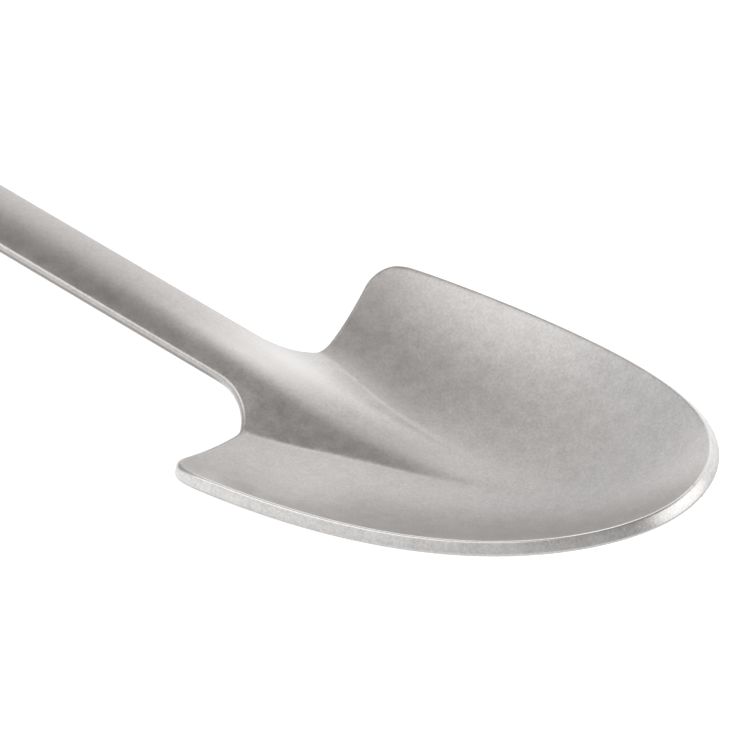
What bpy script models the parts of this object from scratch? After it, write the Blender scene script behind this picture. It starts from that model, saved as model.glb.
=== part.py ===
"""Compact T-handled detecting shovel, lying on a flat surface.

The head is one pressing of thick stainless sheet: a dished round-nosed blade whose centre ridge
runs back into an arched neck and a tang. The tang is packed and riveted into a shaft tube, and a
two-part moulded tee holds the shaft and the crossbar.

Two working frames are used, both as empties:
  blade_frame  +X to the tip along the blade's chord, X = 0 at the rear edge, +Z out of the dish
  shaft_frame  +X along the shaft towards the blade, origin at the crossing of shaft and crossbar
The blade frame is tipped so that the collar and the two grips rest on Z = 0, handle on -X.
"""
from math import asin, atan, cos, exp, hypot, pi, radians, sin, sqrt, tan

import bmesh
import bpy
from mathutils import Matrix, Vector

GAP = 0.0003                     # clearance between touching pieces
MERGE = 0.00001

# Blade
SHEET = 0.003
BLADE_LENGTH = 0.100
BLADE_HALF_WIDTH = 0.0389
WIDEST_AT = 0.0085
REAR_HALF_WIDTH = 0.0363
REAR_EDGE_SETBACK = 0.0006
SIDE_POWER = 2.15
NOSE_POWER = 2.17
CORNER_RADIUS = 0.0068
FILLET_RADIUS = 0.0095
SAG = 0.0104                     # depth of the dish along its centre line
SAG_SKEW = 0.62                  # moves the deepest place towards the tip
WING_LIFT = (0.0110, 0.0086, 0.0026)   # rise of the sides over the centre line, by fraction of length
CREASE = 0.00015                 # softness of the crease where the ridge meets the dish
CREASE_FADE = 0.008              # over this length the crease comes in at the rear edge
FOOT = 0.0007                    # on the +Y side the dish rises this much to the crease,
FOOT_SIDE = (-0.002, 0.004)      # coming in between these two distances off the centre line;
FOOT_REACH = 0.0022              # it settles into the bowl over this drop,
FOOT_FADE = (0.004, 0.030)       # and has gone between these two distances from the rear edge
FLANK_FROM = (0.45, 0.33)        # share of the arc's radius where its straight flank starts,
FLANK_CHANGE = (-0.010, 0.006)   # on the neck behind the first distance and past the second

# Neck, ridge and tang
NECK_HALF_WIDTH = 0.00805
ARCH_RADIUS = 0.0182
CREST_AT_REAR = 0.0061           # height of the ridge's crest at the blade's rear edge
NECK_SLOPE = 0.441               # rise of the neck over the blade's chord
CREST_BEND_FROM = 0.0155
CREST_BEND = 5.0                 # how fast the crest levels out, per metre
NECK_ONLY_BEHIND = -0.012
TANG_END = 0.158                 # distance along the neck from the blade's rear edge
STRAP_AXIS = 0.0024              # depth of the strap's middle below its crest

# Shaft and its joint with the tang
NECK_ANGLE = atan(NECK_SLOPE)
TEE_DISTANCE = 0.310             # from the blade's rear edge to the crossbar's axis, along the neck
TUBE_RADIUS = 0.011
TUBE_WALL = 0.0015
TUBE_BORE = TUBE_RADIUS - TUBE_WALL
COLLAR_FRONT = 0.092             # distance along the neck
COLLAR_FACE = 0.003
COLLAR_LENGTH = 0.018
COLLAR_RADIUS = 0.013
PACKER_LENGTH = 0.060
RIVET_RADIUS = 0.0025
RIVET_HEAD_RADIUS = 0.0045
RIVET_HEAD_HEIGHT = 0.0015
TANG_RIVETS_AT = {"front": 0.116, "rear": 0.144}

# Tee, in the shaft frame
BARREL_RADIUS = 0.0135
TEE_HALF_WIDTH = 0.019
TEE_REACH = 0.040
BOSS_RADIUS = 0.008
BOSS_END = -0.027
EAR_RADIUS = 0.0052
EAR_HEIGHT = 0.009
SCREW_PLACES = [(0.030, 0.0160), (0.030, -0.0160), (-0.0155, 0.0125), (-0.0155, -0.0125)]
SCREW_RADIUS = 0.002
SCREW_HEAD_RADIUS = 0.00375
SCREW_HEAD_HEIGHT = 0.0026
SCREW_END = -0.0138
NUT_ACROSS_FLATS = 0.007
NUT_THICKNESS = 0.0032
SHAFT_RIVET_AT = 0.024

# Crossbar and grips
CROSSBAR_HALF_LENGTH = 0.062
GRIP_RADIUS = 0.0160
GRIP_WAIST = 0.0147
GRIP_RIBS = 7
CAP_RADIUS = 0.0145
CAP_THICKNESS = 0.0035
CAP_PLUG_DEPTH = 0.010

# Lanyard eye and ring
EYE_AT = -0.034
EYE_RADIUS = 0.006
EYE_HALF_THICKNESS = 0.002
EYE_HOLE_RADIUS = 0.0025
STUD_RADIUS = 0.0025
STUD_FLANGE_RADIUS = 0.005
STUD_FLANGE = (-0.0190, -0.0165)
RING_RADIUS = 0.011
RING_WIRE_RADIUS = 0.0015
RING_DROOP = radians(43.1)       # below the shaft's line, where the ring lies on the ground

# Rest attitude
REST_PITCH = radians(23.00)
REST_HEIGHT = 0.00847            # of the blade frame's origin over the ground
REST_SHIFT = 0.1349              # brings the middle of the tool over the origin


# ---------------------------------------------------------------- scene, materials and helpers
def clear_scene():
    for old in list(bpy.data.objects):
        bpy.data.objects.remove(old, do_unlink=True)


def new_collection(name):
    collection = bpy.data.collections.new(name)
    bpy.context.scene.collection.children.link(collection)
    return collection


def new_material(name, colour, metallic, roughness):
    material = bpy.data.materials.new(name)
    material.use_nodes = True
    shader = material.node_tree.nodes["Principled BSDF"]
    shader.inputs["Base Color"].default_value = (*colour, 1.0)
    shader.inputs["Metallic"].default_value = metallic
    shader.inputs["Roughness"].default_value = roughness
    material.diffuse_color = (*colour, 1.0)
    return material


clear_scene()
SHOVEL = new_collection("detecting_shovel")
CUTTERS = new_collection("cutters")
BLASTED_STEEL = new_material("blasted_stainless", (0.56, 0.54, 0.52), 1.0, 0.42)
TUBE_STEEL = new_material("brushed_stainless", (0.60, 0.59, 0.57), 1.0, 0.30)
FASTENER_STEEL = new_material("fastener_stainless", (0.66, 0.65, 0.63), 1.0, 0.25)
NYLON = new_material("black_nylon", (0.022, 0.022, 0.024), 0.0, 0.45)
RUBBER = new_material("black_rubber", (0.030, 0.030, 0.032), 0.0, 0.75)


def new_empty(name, parent=None, location=(0, 0, 0), rotation=(0, 0, 0)):
    empty = bpy.data.objects.new(name, None)
    empty.parent = parent
    empty.location = location
    empty.rotation_euler = rotation
    SHOVEL.objects.link(empty)
    return empty


def new_piece(name, mesh, material, parent, location=(0, 0, 0), rotation=(0, 0, 0)):
    piece = bpy.data.objects.new(name, mesh)
    mesh.materials.append(material)
    mesh.shade_smooth()
    mesh.set_sharp_from_angle(angle=radians(35))
    piece.parent = parent
    piece.location = location
    piece.rotation_euler = rotation
    SHOVEL.objects.link(piece)
    return piece


def new_cutter(name, mesh, parent, location=(0, 0, 0), rotation=(0, 0, 0)):
    cutter = bpy.data.objects.new(name, mesh)
    cutter.parent = parent
    cutter.location = location
    cutter.rotation_euler = rotation
    cutter.hide_render = True
    cutter.display_type = "WIRE"
    CUTTERS.objects.link(cutter)
    return cutter


def boolean(piece, operation, other):
    modifier = piece.modifiers.new(f"{operation.lower()} {other.name}", "BOOLEAN")
    modifier.operation = operation
    modifier.object = other
    modifier.solver = "EXACT"


def cylinder_mesh(name, radius, length, segments=32):
    """A cylinder along Z, centred on the origin."""
    shape = bmesh.new()
    bmesh.ops.create_cone(shape, cap_ends=True, segments=segments,
                          radius1=radius, radius2=radius, depth=length)
    mesh = bpy.data.meshes.new(name)
    shape.to_mesh(mesh)
    shape.free()
    return mesh


def box_mesh(name, size):
    shape = bmesh.new()
    bmesh.ops.create_cube(shape, size=1.0, matrix=Matrix.Diagonal((*size, 1.0)))
    mesh = bpy.data.meshes.new(name)
    shape.to_mesh(mesh)
    shape.free()
    return mesh


def turned(name, profile, material, parent, location=(0, 0, 0), rotation=(0, 0, 0),
           closed=False, steps=32):
    """A turned piece. The profile lists (radius, height) down the outer side, top to bottom."""
    shape = bmesh.new()
    points = [shape.verts.new((radius, 0.0, height)) for radius, height in profile]
    for start, end in zip(points, points[1:] + points[:1] * closed):
        shape.edges.new((start, end))
    mesh = bpy.data.meshes.new(name)
    shape.to_mesh(mesh)
    shape.free()
    piece = new_piece(name, mesh, material, parent, location, rotation)
    screw = piece.modifiers.new("turn", "SCREW")
    screw.steps = steps
    screw.render_steps = steps
    screw.use_merge_vertices = True
    screw.merge_threshold = MERGE
    screw.use_smooth_shade = True
    return piece


def tube_profile(outer, inner, top, bottom):
    return [(outer, top), (outer, bottom), (inner, bottom), (inner, top)]


def arc_points(centre, radius, start, end, count):
    """Points on an arc from angle start to angle end, both included."""
    angles = [start + (end - start) * step / (count - 1) for step in range(count)]
    return [(centre[0] + radius * cos(angle), centre[1] + radius * sin(angle)) for angle in angles]


ALONG_X = (0.0, pi / 2, 0.0)     # turns a piece made along Z so that its top faces +X
ALONG_Y = (-pi / 2, 0.0, 0.0)    # the same for +Y


def along_neck(distance):
    """The shaft-frame X of a place given by its distance from the blade's rear edge."""
    return TEE_DISTANCE - distance


# ---------------------------------------------------------------- head pressing
def smooth_step(value, low, high):
    part = min(max((value - low) / (high - low), 0.0), 1.0)
    return part * part * (3.0 - 2.0 * part)


def dish_height(x, y):
    """Upper surface of the blade without its ridge."""
    u = x / BLADE_LENGTH
    centre = -4.0 * SAG * u * (1.0 - u) * (1.0 + SAG_SKEW * (u - 0.5))
    lift = WING_LIFT[0] + WING_LIFT[1] * u + WING_LIFT[2] * u * u
    return centre + lift * (y / BLADE_HALF_WIDTH) ** 2


def arch_height(x, y):
    """Upper surface of the neck and ridge: an arc of ARCH_RADIUS under a falling crest."""
    crest = CREST_AT_REAR - NECK_SLOPE * x + CREST_BEND * max(x - CREST_BEND_FROM, 0.0) ** 2
    neck, ridge = FLANK_FROM
    limit = (neck + (ridge - neck) * smooth_step(x, *FLANK_CHANGE)) * ARCH_RADIUS
    inside = min(abs(y), limit)
    drop = ARCH_RADIUS - sqrt(ARCH_RADIUS ** 2 - inside ** 2)
    slope = limit / sqrt(ARCH_RADIUS ** 2 - limit ** 2)
    return crest - drop - slope * (abs(y) - inside)


def foot_height(x, y):
    """How far the dish has risen where it meets the ridge. It does so on the +Y side only."""
    return FOOT * smooth_step(y, *FOOT_SIDE) * (1.0 - smooth_step(x, *FOOT_FADE))


def head_height(x, y):
    """The higher of arch and dish, with a soft foot on the dish and a narrow crease between them."""
    arch = arch_height(x, y)
    dish = dish_height(x, y)
    fade = min(max((x - NECK_ONLY_BEHIND) / CREASE_FADE, 0.0), 1.0)
    foot = fade * foot_height(x, y)
    dish += foot * exp(-max(dish - arch + foot, 0.0) / FOOT_REACH)
    return 0.5 * (arch + dish + hypot(arch - dish, fade * CREASE))


def side_width(x):
    """Half width of the blade ahead of its rear corners."""
    if x < WIDEST_AT:
        back = (WIDEST_AT - x) / WIDEST_AT
        return BLADE_HALF_WIDTH - (BLADE_HALF_WIDTH - REAR_HALF_WIDTH) * back ** 2
    ahead = min((x - WIDEST_AT) / (BLADE_LENGTH - WIDEST_AT), 1.0)
    return BLADE_HALF_WIDTH * (1.0 - ahead ** SIDE_POWER) ** (1.0 / NOSE_POWER)


def rounded_corner(before, corner, after, radius, count):
    """Points on the arc that rounds a corner of the outline."""
    corner = Vector(corner)
    to_before = (Vector(before) - corner).normalized()
    to_after = (Vector(after) - corner).normalized()
    half = to_before.angle(to_after) / 2
    centre = corner + (to_before + to_after).normalized() * radius / sin(half)
    start = corner + to_before * radius / tan(half) - centre
    end = corner + to_after * radius / tan(half) - centre
    sweep = start.angle_signed(end)
    return [centre + Matrix.Rotation(-sweep * step / (count - 1), 2) @ start for step in range(count)]


def side_slope(x):
    return 2.0 * (BLADE_HALF_WIDTH - REAR_HALF_WIDTH) * (WIDEST_AT - x) / WIDEST_AT ** 2


def corner_touch(rounds=20):
    """Where the corner's arc meets the side of the blade, so that the two run on smoothly."""
    touch = CORNER_RADIUS
    for _ in range(rounds):
        turn = atan(side_slope(touch))
        touch = CORNER_RADIUS / tan((pi / 2 + turn) / 2) * cos(turn)
    return touch


def blade_outline(side_count, arc_count):
    """Half outline on +Y, from the start of the neck's fillet round to the tip."""
    touch = corner_touch()
    behind = (-0.060, NECK_HALF_WIDTH)
    root = (-REAR_EDGE_SETBACK, NECK_HALF_WIDTH)
    shoulder = (0.0, side_width(touch) - touch * side_slope(touch))
    ahead = (touch, side_width(touch))
    outline = rounded_corner(behind, root, shoulder, FILLET_RADIUS, arc_count)
    outline += rounded_corner(root, shoulder, ahead, CORNER_RADIUS, arc_count)
    first = outline[-1].x
    for step in range(1, side_count + 1):
        left = 1.0 - step / side_count
        x = first + (BLADE_LENGTH - first) * (1.0 - left ** 2)
        outline.append(Vector((x, side_width(x))))
    return outline


def head_rows(neck_count, side_count, arc_count):
    """Rows of the surface grid as (centre x, edge point), from the tang's end to the tip."""
    outline = blade_outline(side_count, arc_count)
    tang_x = -TANG_END * cos(NECK_ANGLE)
    first = outline[0].x
    rows = []
    for step in range(neck_count):
        x = tang_x + (first - tang_x) * step / neck_count
        rows.append((x, Vector((x, NECK_HALF_WIDTH))))
    lengths = [0.0]
    for start, end in zip(outline, outline[1:]):
        lengths.append(lengths[-1] + (end - start).length)
    for length, edge in zip(lengths, outline):
        rows.append((first + (BLADE_LENGTH - first) * length / lengths[-1], edge))
    return rows


def head_surface(name, columns=12, neck_count=12, side_count=22, arc_count=6):
    """The upper skin of the pressing. Each row fans from the centre line to the outline."""
    shape = bmesh.new()
    grid = []
    for centre, edge in head_rows(neck_count, side_count, arc_count):
        row = []
        for column in range(-columns, columns + 1):
            part = abs(column) / columns
            x = centre + (edge.x - centre) * part
            y = edge.y * column / columns
            row.append(shape.verts.new((x, y, head_height(x, y))))
        grid.append(row)
    for back, front in zip(grid, grid[1:]):
        for column in range(2 * columns):
            shape.faces.new((back[column + 1], back[column], front[column], front[column + 1]))
    bmesh.ops.remove_doubles(shape, verts=shape.verts, dist=MERGE)
    mesh = bpy.data.meshes.new(name)
    shape.to_mesh(mesh)
    shape.free()
    return mesh


def make_head(blade_frame, shaft_frame):
    head = new_piece("head_pressing", head_surface("head_pressing"), BLASTED_STEEL, blade_frame)
    sheet = head.modifiers.new("sheet", "SOLIDIFY")
    sheet.thickness = SHEET
    sheet.offset = -1.0
    sheet.use_even_offset = True
    for place, distance in TANG_RIVETS_AT.items():
        hole = cylinder_mesh(f"tang_hole_{place}", RIVET_RADIUS + GAP, 0.020, 24)
        boolean(head, "DIFFERENCE",
                new_cutter(f"tang_hole_{place}", hole, shaft_frame, (along_neck(distance), 0, 0)))


# ---------------------------------------------------------------- shaft and tang joint
def cross_rivet(name, shaft_frame, x, reach):
    """A rivet across the shaft with a domed head on both sides, each GAP off the metal."""
    seat = reach + GAP
    dome = (RIVET_HEAD_RADIUS ** 2 + RIVET_HEAD_HEIGHT ** 2) / (2 * RIVET_HEAD_HEIGHT)
    edge = asin(RIVET_HEAD_RADIUS / dome)
    top = arc_points((0.0, seat + RIVET_HEAD_HEIGHT - dome), dome, pi / 2, pi / 2 - edge, 4)
    bottom = [(radius, -height) for radius, height in reversed(top)]
    profile = top + [(RIVET_RADIUS, seat), (RIVET_RADIUS, -seat)] + bottom
    profile[0] = (0.0, profile[0][1])
    profile[-1] = (0.0, profile[-1][1])
    turned(name, profile, FASTENER_STEEL, shaft_frame, (x, 0, 0), steps=20)


def rivet_hole(name, shaft_frame, x, length=0.040):
    hole = cylinder_mesh(name, RIVET_RADIUS + GAP, length, 24)
    return new_cutter(name, hole, shaft_frame, (x, 0, 0))


def make_shaft_tube(shaft_frame):
    back = TUBE_RADIUS + 2 * GAP
    front = along_neck(COLLAR_FRONT + COLLAR_FACE) - GAP
    tube = turned("shaft_tube", tube_profile(TUBE_RADIUS, TUBE_BORE, front, back),
                  TUBE_STEEL, shaft_frame, rotation=ALONG_X, closed=True)
    for place, distance in TANG_RIVETS_AT.items():
        boolean(tube, "DIFFERENCE",
                rivet_hole(f"tube_hole_{place}", shaft_frame, along_neck(distance)))
    boolean(tube, "DIFFERENCE", rivet_hole("tube_hole_tee", shaft_frame, SHAFT_RIVET_AT))


def strap_slot(name, shaft_frame, clearance, length, x):
    """A curved slab that follows the tang with some clearance, for cutting its way through."""
    outer = ARCH_RADIUS + clearance
    inner = ARCH_RADIUS - SHEET - clearance
    half = asin((NECK_HALF_WIDTH + clearance) / outer)
    above = arc_points((0.0, 0.0), outer, pi / 2 - half, pi / 2 + half, 13)
    below = arc_points((0.0, 0.0), inner, pi / 2 + half, pi / 2 - half, 13)
    shape = bmesh.new()
    ring = [shape.verts.new((-length / 2, y, z)) for y, z in above + below]
    face = shape.faces.new(ring)
    bmesh.ops.extrude_face_region(shape, geom=[face], use_keep_orig=True)
    for vertex in shape.verts:
        if vertex not in ring:
            vertex.co.x += length
    bmesh.ops.recalc_face_normals(shape, faces=shape.faces)
    mesh = bpy.data.meshes.new(name)
    shape.to_mesh(mesh)
    shape.free()
    return new_cutter(name, mesh, shaft_frame, (x, 0, STRAP_AXIS - ARCH_RADIUS))


def make_mouth_collar(shaft_frame):
    front = along_neck(COLLAR_FRONT)
    bore = TUBE_RADIUS + GAP
    step = front - COLLAR_FACE
    profile = [(0.0, front), (COLLAR_RADIUS - 0.0022, front), (COLLAR_RADIUS - 0.0006, front - 0.0009),
               (COLLAR_RADIUS, front - 0.0028), (COLLAR_RADIUS, front - COLLAR_LENGTH + 0.0008),
               (COLLAR_RADIUS - 0.0006, front - COLLAR_LENGTH), (bore, front - COLLAR_LENGTH),
               (bore, step), (0.0, step)]
    collar = turned("mouth_collar", profile, TUBE_STEEL, shaft_frame, rotation=ALONG_X)
    boolean(collar, "DIFFERENCE",
            strap_slot("collar_slot", shaft_frame, GAP, 0.020, front))


def make_tang_packers(shaft_frame):
    """Round packing in the tube, parted along the tang's upper and lower faces."""
    radius = TUBE_BORE - GAP
    middle = along_neck((TANG_RIVETS_AT["front"] + TANG_RIVETS_AT["rear"]) / 2)
    faces = {"upper": ("DIFFERENCE", ARCH_RADIUS + GAP),
             "lower": ("INTERSECT", ARCH_RADIUS - SHEET - GAP)}
    for side, (operation, arch) in faces.items():
        mesh = cylinder_mesh(f"tang_packer_{side}", radius, PACKER_LENGTH)
        packer = new_piece(f"tang_packer_{side}", mesh, NYLON, shaft_frame, (middle, 0, 0), ALONG_X)
        arch_mesh = cylinder_mesh(f"packer_arch_{side}", arch, PACKER_LENGTH + 0.010, 96)
        boolean(packer, operation,
                new_cutter(f"packer_arch_{side}", arch_mesh, shaft_frame,
                           (middle, 0, STRAP_AXIS - ARCH_RADIUS), ALONG_X))
        for place, distance in TANG_RIVETS_AT.items():
            name = f"packer_{side}_hole_{place}"
            boolean(packer, "DIFFERENCE", rivet_hole(name, shaft_frame, along_neck(distance)))


def make_shaft(shaft_frame):
    make_shaft_tube(shaft_frame)
    make_mouth_collar(shaft_frame)
    make_tang_packers(shaft_frame)
    for place, distance in TANG_RIVETS_AT.items():
        cross_rivet(f"tang_rivet_{place}", shaft_frame, along_neck(distance), TUBE_RADIUS)


# ---------------------------------------------------------------- tee
def make_tee_shell(side, shaft_frame):
    """Half of the tee, parted on the plane that holds both tubes' axes."""
    name = f"tee_shell_{side}"
    barrel = cylinder_mesh(name, BARREL_RADIUS, 2 * TEE_HALF_WIDTH)
    shell = new_piece(name, barrel, NYLON, shaft_frame, rotation=ALONG_Y)

    def tool(label, mesh, location, rotation=(0, 0, 0)):
        return new_cutter(f"{name}_{label}", mesh, shaft_frame, location, rotation)

    socket = cylinder_mesh("socket", BARREL_RADIUS - 0.0004, TEE_REACH)
    boolean(shell, "UNION", tool("socket", socket, (TEE_REACH / 2, 0, 0), ALONG_X))
    boss = cylinder_mesh("boss", BOSS_RADIUS, -BOSS_END, 32)
    boolean(shell, "UNION", tool("boss", boss, (BOSS_END / 2, 0, 0), ALONG_X))
    for number, (x, y) in enumerate(SCREW_PLACES, 1):
        ear = cylinder_mesh("ear", EAR_RADIUS, 2 * EAR_HEIGHT, 24)
        boolean(shell, "UNION", tool(f"ear_{number}", ear, (x, y, 0)))
    bore = cylinder_mesh("bore", TUBE_RADIUS + GAP, 0.100)
    boolean(shell, "DIFFERENCE", tool("crossbar_bore", bore, (0, 0, 0), ALONG_Y))
    boolean(shell, "DIFFERENCE", tool("shaft_bore", bore.copy(), (0.050, 0, 0), ALONG_X))
    stud = cylinder_mesh("stud_bore", STUD_RADIUS + GAP, 0.020, 24)
    boolean(shell, "DIFFERENCE", tool("stud_bore", stud, (BOSS_END, 0, 0), ALONG_X))
    flange_length = STUD_FLANGE[1] - STUD_FLANGE[0] + 2 * GAP
    flange = cylinder_mesh("flange_bore", STUD_FLANGE_RADIUS + GAP, flange_length, 32)
    boolean(shell, "DIFFERENCE", tool("flange_bore", flange, (sum(STUD_FLANGE) / 2, 0, 0), ALONG_X))
    for number, (x, y) in enumerate(SCREW_PLACES, 1):
        hole = cylinder_mesh("screw_hole", SCREW_RADIUS + GAP, 0.040, 20)
        boolean(shell, "DIFFERENCE", tool(f"screw_hole_{number}", hole, (x, y, 0)))
    for label, x in {"shaft": SHAFT_RIVET_AT, "crossbar": 0.0}.items():
        hole = cylinder_mesh("rivet_hole", RIVET_RADIUS + GAP, 0.040, 24)
        boolean(shell, "DIFFERENCE", tool(f"{label}_rivet_hole", hole, (x, 0, 0)))
    half = box_mesh("half", (0.120, 0.120, 0.040))
    height = 0.020 + GAP / 2
    side_sign = 1 if side == "upper" else -1
    boolean(shell, "INTERSECT", tool("half", half, (0, 0, side_sign * height)))


def make_tee_fasteners(shaft_frame):
    seat = EAR_HEIGHT + GAP
    top = seat + SCREW_HEAD_HEIGHT
    screw = [(0.0, top), (SCREW_HEAD_RADIUS - 0.0010, top), (SCREW_HEAD_RADIUS, top - 0.0010),
             (SCREW_HEAD_RADIUS, seat), (SCREW_RADIUS, seat), (SCREW_RADIUS, SCREW_END + 0.0004),
             (SCREW_RADIUS - 0.0004, SCREW_END), (0.0, SCREW_END)]
    for number, (x, y) in enumerate(SCREW_PLACES, 1):
        turned(f"tee_screw_{number}", screw, FASTENER_STEEL, shaft_frame, (x, y, 0), steps=20)
        body = cylinder_mesh("nut", NUT_ACROSS_FLATS / 2 / cos(pi / 6), NUT_THICKNESS, 6)
        place = (x, y, -seat - NUT_THICKNESS / 2)
        nut = new_piece(f"tee_nut_{number}", body, FASTENER_STEEL, shaft_frame, place)
        thread = cylinder_mesh("nut_thread", SCREW_RADIUS + GAP, 0.010, 20)
        boolean(nut, "DIFFERENCE", new_cutter(f"nut_thread_{number}", thread, shaft_frame, place))
    cross_rivet("shaft_rivet", shaft_frame, SHAFT_RIVET_AT, BARREL_RADIUS)
    cross_rivet("crossbar_rivet", shaft_frame, 0.0, BARREL_RADIUS)


# ---------------------------------------------------------------- crossbar, grips and caps
def make_crossbar(shaft_frame):
    profile = tube_profile(TUBE_RADIUS, TUBE_BORE, CROSSBAR_HALF_LENGTH, -CROSSBAR_HALF_LENGTH)
    tube = turned("crossbar_tube", profile, TUBE_STEEL, shaft_frame, rotation=ALONG_Y, closed=True)
    boolean(tube, "DIFFERENCE", rivet_hole("crossbar_hole", shaft_frame, 0.0))


def grip_profile():
    """A sleeve with round ribs, from its outer end down to the tee."""
    inner = TUBE_RADIUS + GAP
    top = CROSSBAR_HALF_LENGTH - GAP
    bottom = TEE_HALF_WIDTH + GAP
    pitch = (top - bottom) / GRIP_RIBS
    depth = GRIP_RADIUS - GRIP_WAIST
    samples = 4
    outer = []
    for step in range(GRIP_RIBS * samples + 1):
        height = top - pitch * step / samples
        outer.append((GRIP_WAIST + depth * abs(sin(pi * step / samples)) ** 0.5, height))
    return outer + [(inner, bottom), (inner, top)]


def make_grips(shaft_frame):
    face = CROSSBAR_HALF_LENGTH + GAP
    bevel = 0.0012
    outside = face + CAP_THICKNESS
    cap = [(0.0, outside), (CAP_RADIUS - 2 * bevel, outside),
           (CAP_RADIUS - bevel / 2, outside - bevel / 2), (CAP_RADIUS, outside - 2 * bevel),
           (CAP_RADIUS, face), (TUBE_BORE - GAP, face),
           (TUBE_BORE - GAP, face - CAP_PLUG_DEPTH), (0.0, face - CAP_PLUG_DEPTH)]
    turns = {"left": ALONG_Y, "right": (pi / 2, 0.0, 0.0)}
    for side, turn in turns.items():
        turned(f"grip_{side}", grip_profile(), RUBBER, shaft_frame, rotation=turn, closed=True)
        turned(f"end_cap_{side}", cap, NYLON, shaft_frame, rotation=turn)


# ---------------------------------------------------------------- lanyard eye and ring
def make_eye_stud(shaft_frame):
    mesh = cylinder_mesh("eye_stud", EYE_RADIUS, 2 * EYE_HALF_THICKNESS, 32)
    eye = new_piece("eye_stud", mesh, FASTENER_STEEL, shaft_frame, (EYE_AT, 0, 0), ALONG_Y)
    back = EYE_AT + EYE_RADIUS - 0.001
    length = STUD_FLANGE[1] - back
    stem = cylinder_mesh("eye_stem", STUD_RADIUS, length, 24)
    boolean(eye, "UNION", new_cutter("eye_stem", stem, shaft_frame, (back + length / 2, 0, 0), ALONG_X))
    flange = cylinder_mesh("eye_flange", STUD_FLANGE_RADIUS, STUD_FLANGE[1] - STUD_FLANGE[0], 32)
    place = (sum(STUD_FLANGE) / 2 + 0.0001, 0, 0)
    boolean(eye, "UNION", new_cutter("eye_flange", flange, shaft_frame, place, ALONG_X))
    hole = cylinder_mesh("eye_hole", EYE_HOLE_RADIUS, 0.020, 24)
    boolean(eye, "DIFFERENCE", new_cutter("eye_hole", hole, shaft_frame, (EYE_AT, 0, 0), ALONG_Y))


def make_lanyard_ring(shaft_frame):
    """A closed ring through the eye. Its pivot empty is the swing's axis, along Y."""
    pivot = new_empty("ring_pivot", shaft_frame, (EYE_AT, 0, 0), (0, -RING_DROOP, 0))
    bpy.ops.mesh.primitive_torus_add(major_radius=RING_RADIUS, minor_radius=RING_WIRE_RADIUS,
                                     major_segments=32, minor_segments=8)
    torus = bpy.context.active_object
    mesh = torus.data
    bpy.data.objects.remove(torus, do_unlink=True)
    new_piece("lanyard_ring", mesh, FASTENER_STEEL, pivot, (-RING_RADIUS, 0, 0))


# ---------------------------------------------------------------- assembly
def make_frames():
    blade_frame = new_empty("blade_frame", None, (REST_SHIFT, 0, REST_HEIGHT), (0, -REST_PITCH, 0))
    slope = Vector((-cos(NECK_ANGLE), 0, sin(NECK_ANGLE)))
    under_crest = Vector((-sin(NECK_ANGLE), 0, -cos(NECK_ANGLE))) * STRAP_AXIS
    origin = Vector((0, 0, CREST_AT_REAR)) + under_crest + slope * TEE_DISTANCE
    shaft_frame = new_empty("shaft_frame", blade_frame, origin, (0, NECK_ANGLE, 0))
    return blade_frame, shaft_frame


def build():
    blade_frame, shaft_frame = make_frames()
    make_head(blade_frame, shaft_frame)
    make_shaft(shaft_frame)
    for side in ("upper", "lower"):
        make_tee_shell(side, shaft_frame)
    make_tee_fasteners(shaft_frame)
    make_crossbar(shaft_frame)
    make_grips(shaft_frame)
    make_eye_stud(shaft_frame)
    make_lanyard_ring(shaft_frame)


build()
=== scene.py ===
"""Looks of the compact T-handled detecting shovel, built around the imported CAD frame.

Two working frames are used, the same as the CAD's:
  BLADE  +X to the tip along the blade's chord, X = 0 at the rear edge, +Z out of the dish
  SHAFT  +X along the shaft towards the blade, origin at the crossing of shaft and crossbar
"""

from math import asin, atan, cos, exp, hypot, pi, radians, sin, sqrt, tan

import bmesh
import bpy
from mathutils import Matrix, Vector


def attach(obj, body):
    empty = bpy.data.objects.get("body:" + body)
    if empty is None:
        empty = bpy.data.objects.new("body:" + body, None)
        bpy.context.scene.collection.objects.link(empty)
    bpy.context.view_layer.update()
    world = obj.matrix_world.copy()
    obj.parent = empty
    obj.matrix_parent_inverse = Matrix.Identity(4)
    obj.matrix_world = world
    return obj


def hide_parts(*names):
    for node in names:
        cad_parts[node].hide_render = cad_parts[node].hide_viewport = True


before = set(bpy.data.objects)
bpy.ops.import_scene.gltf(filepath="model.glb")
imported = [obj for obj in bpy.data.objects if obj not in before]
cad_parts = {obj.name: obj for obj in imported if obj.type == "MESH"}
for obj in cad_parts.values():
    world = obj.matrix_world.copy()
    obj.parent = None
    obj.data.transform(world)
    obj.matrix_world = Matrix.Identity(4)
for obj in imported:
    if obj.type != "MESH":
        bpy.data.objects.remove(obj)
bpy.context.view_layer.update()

BODY = "shovel"
RING_BODY = "lanyard_ring"
GAP = 0.0003
WELD = 0.000001

# Blade and neck, as in the CAD
SHEET = 0.003
BLADE_LENGTH = 0.100
BLADE_HALF_WIDTH = 0.0389
WIDEST_AT = 0.0085
REAR_HALF_WIDTH = 0.0363
REAR_EDGE_SETBACK = 0.0006
SIDE_POWER = 2.15
NOSE_POWER = 2.17
CORNER_RADIUS = 0.0068
FILLET_RADIUS = 0.0095
SAG = 0.0104
SAG_SKEW = 0.62
WING_LIFT = (0.0110, 0.0086, 0.0026)
CREASE = 0.00015
CREASE_FADE = 0.008
FOOT = 0.0007
FOOT_SIDE = (-0.002, 0.004)
FOOT_REACH = 0.0022
FOOT_FADE = (0.004, 0.030)
FLANK_FROM = (0.45, 0.33)
FLANK_CHANGE = (-0.010, 0.006)
NECK_HALF_WIDTH = 0.00805
ARCH_RADIUS = 0.0182
CREST_AT_REAR = 0.0061
NECK_SLOPE = 0.441
NECK_ANGLE = atan(NECK_SLOPE)
CREST_BEND_FROM = 0.0155
CREST_BEND = 5.0
NECK_ONLY_BEHIND = -0.012
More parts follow.
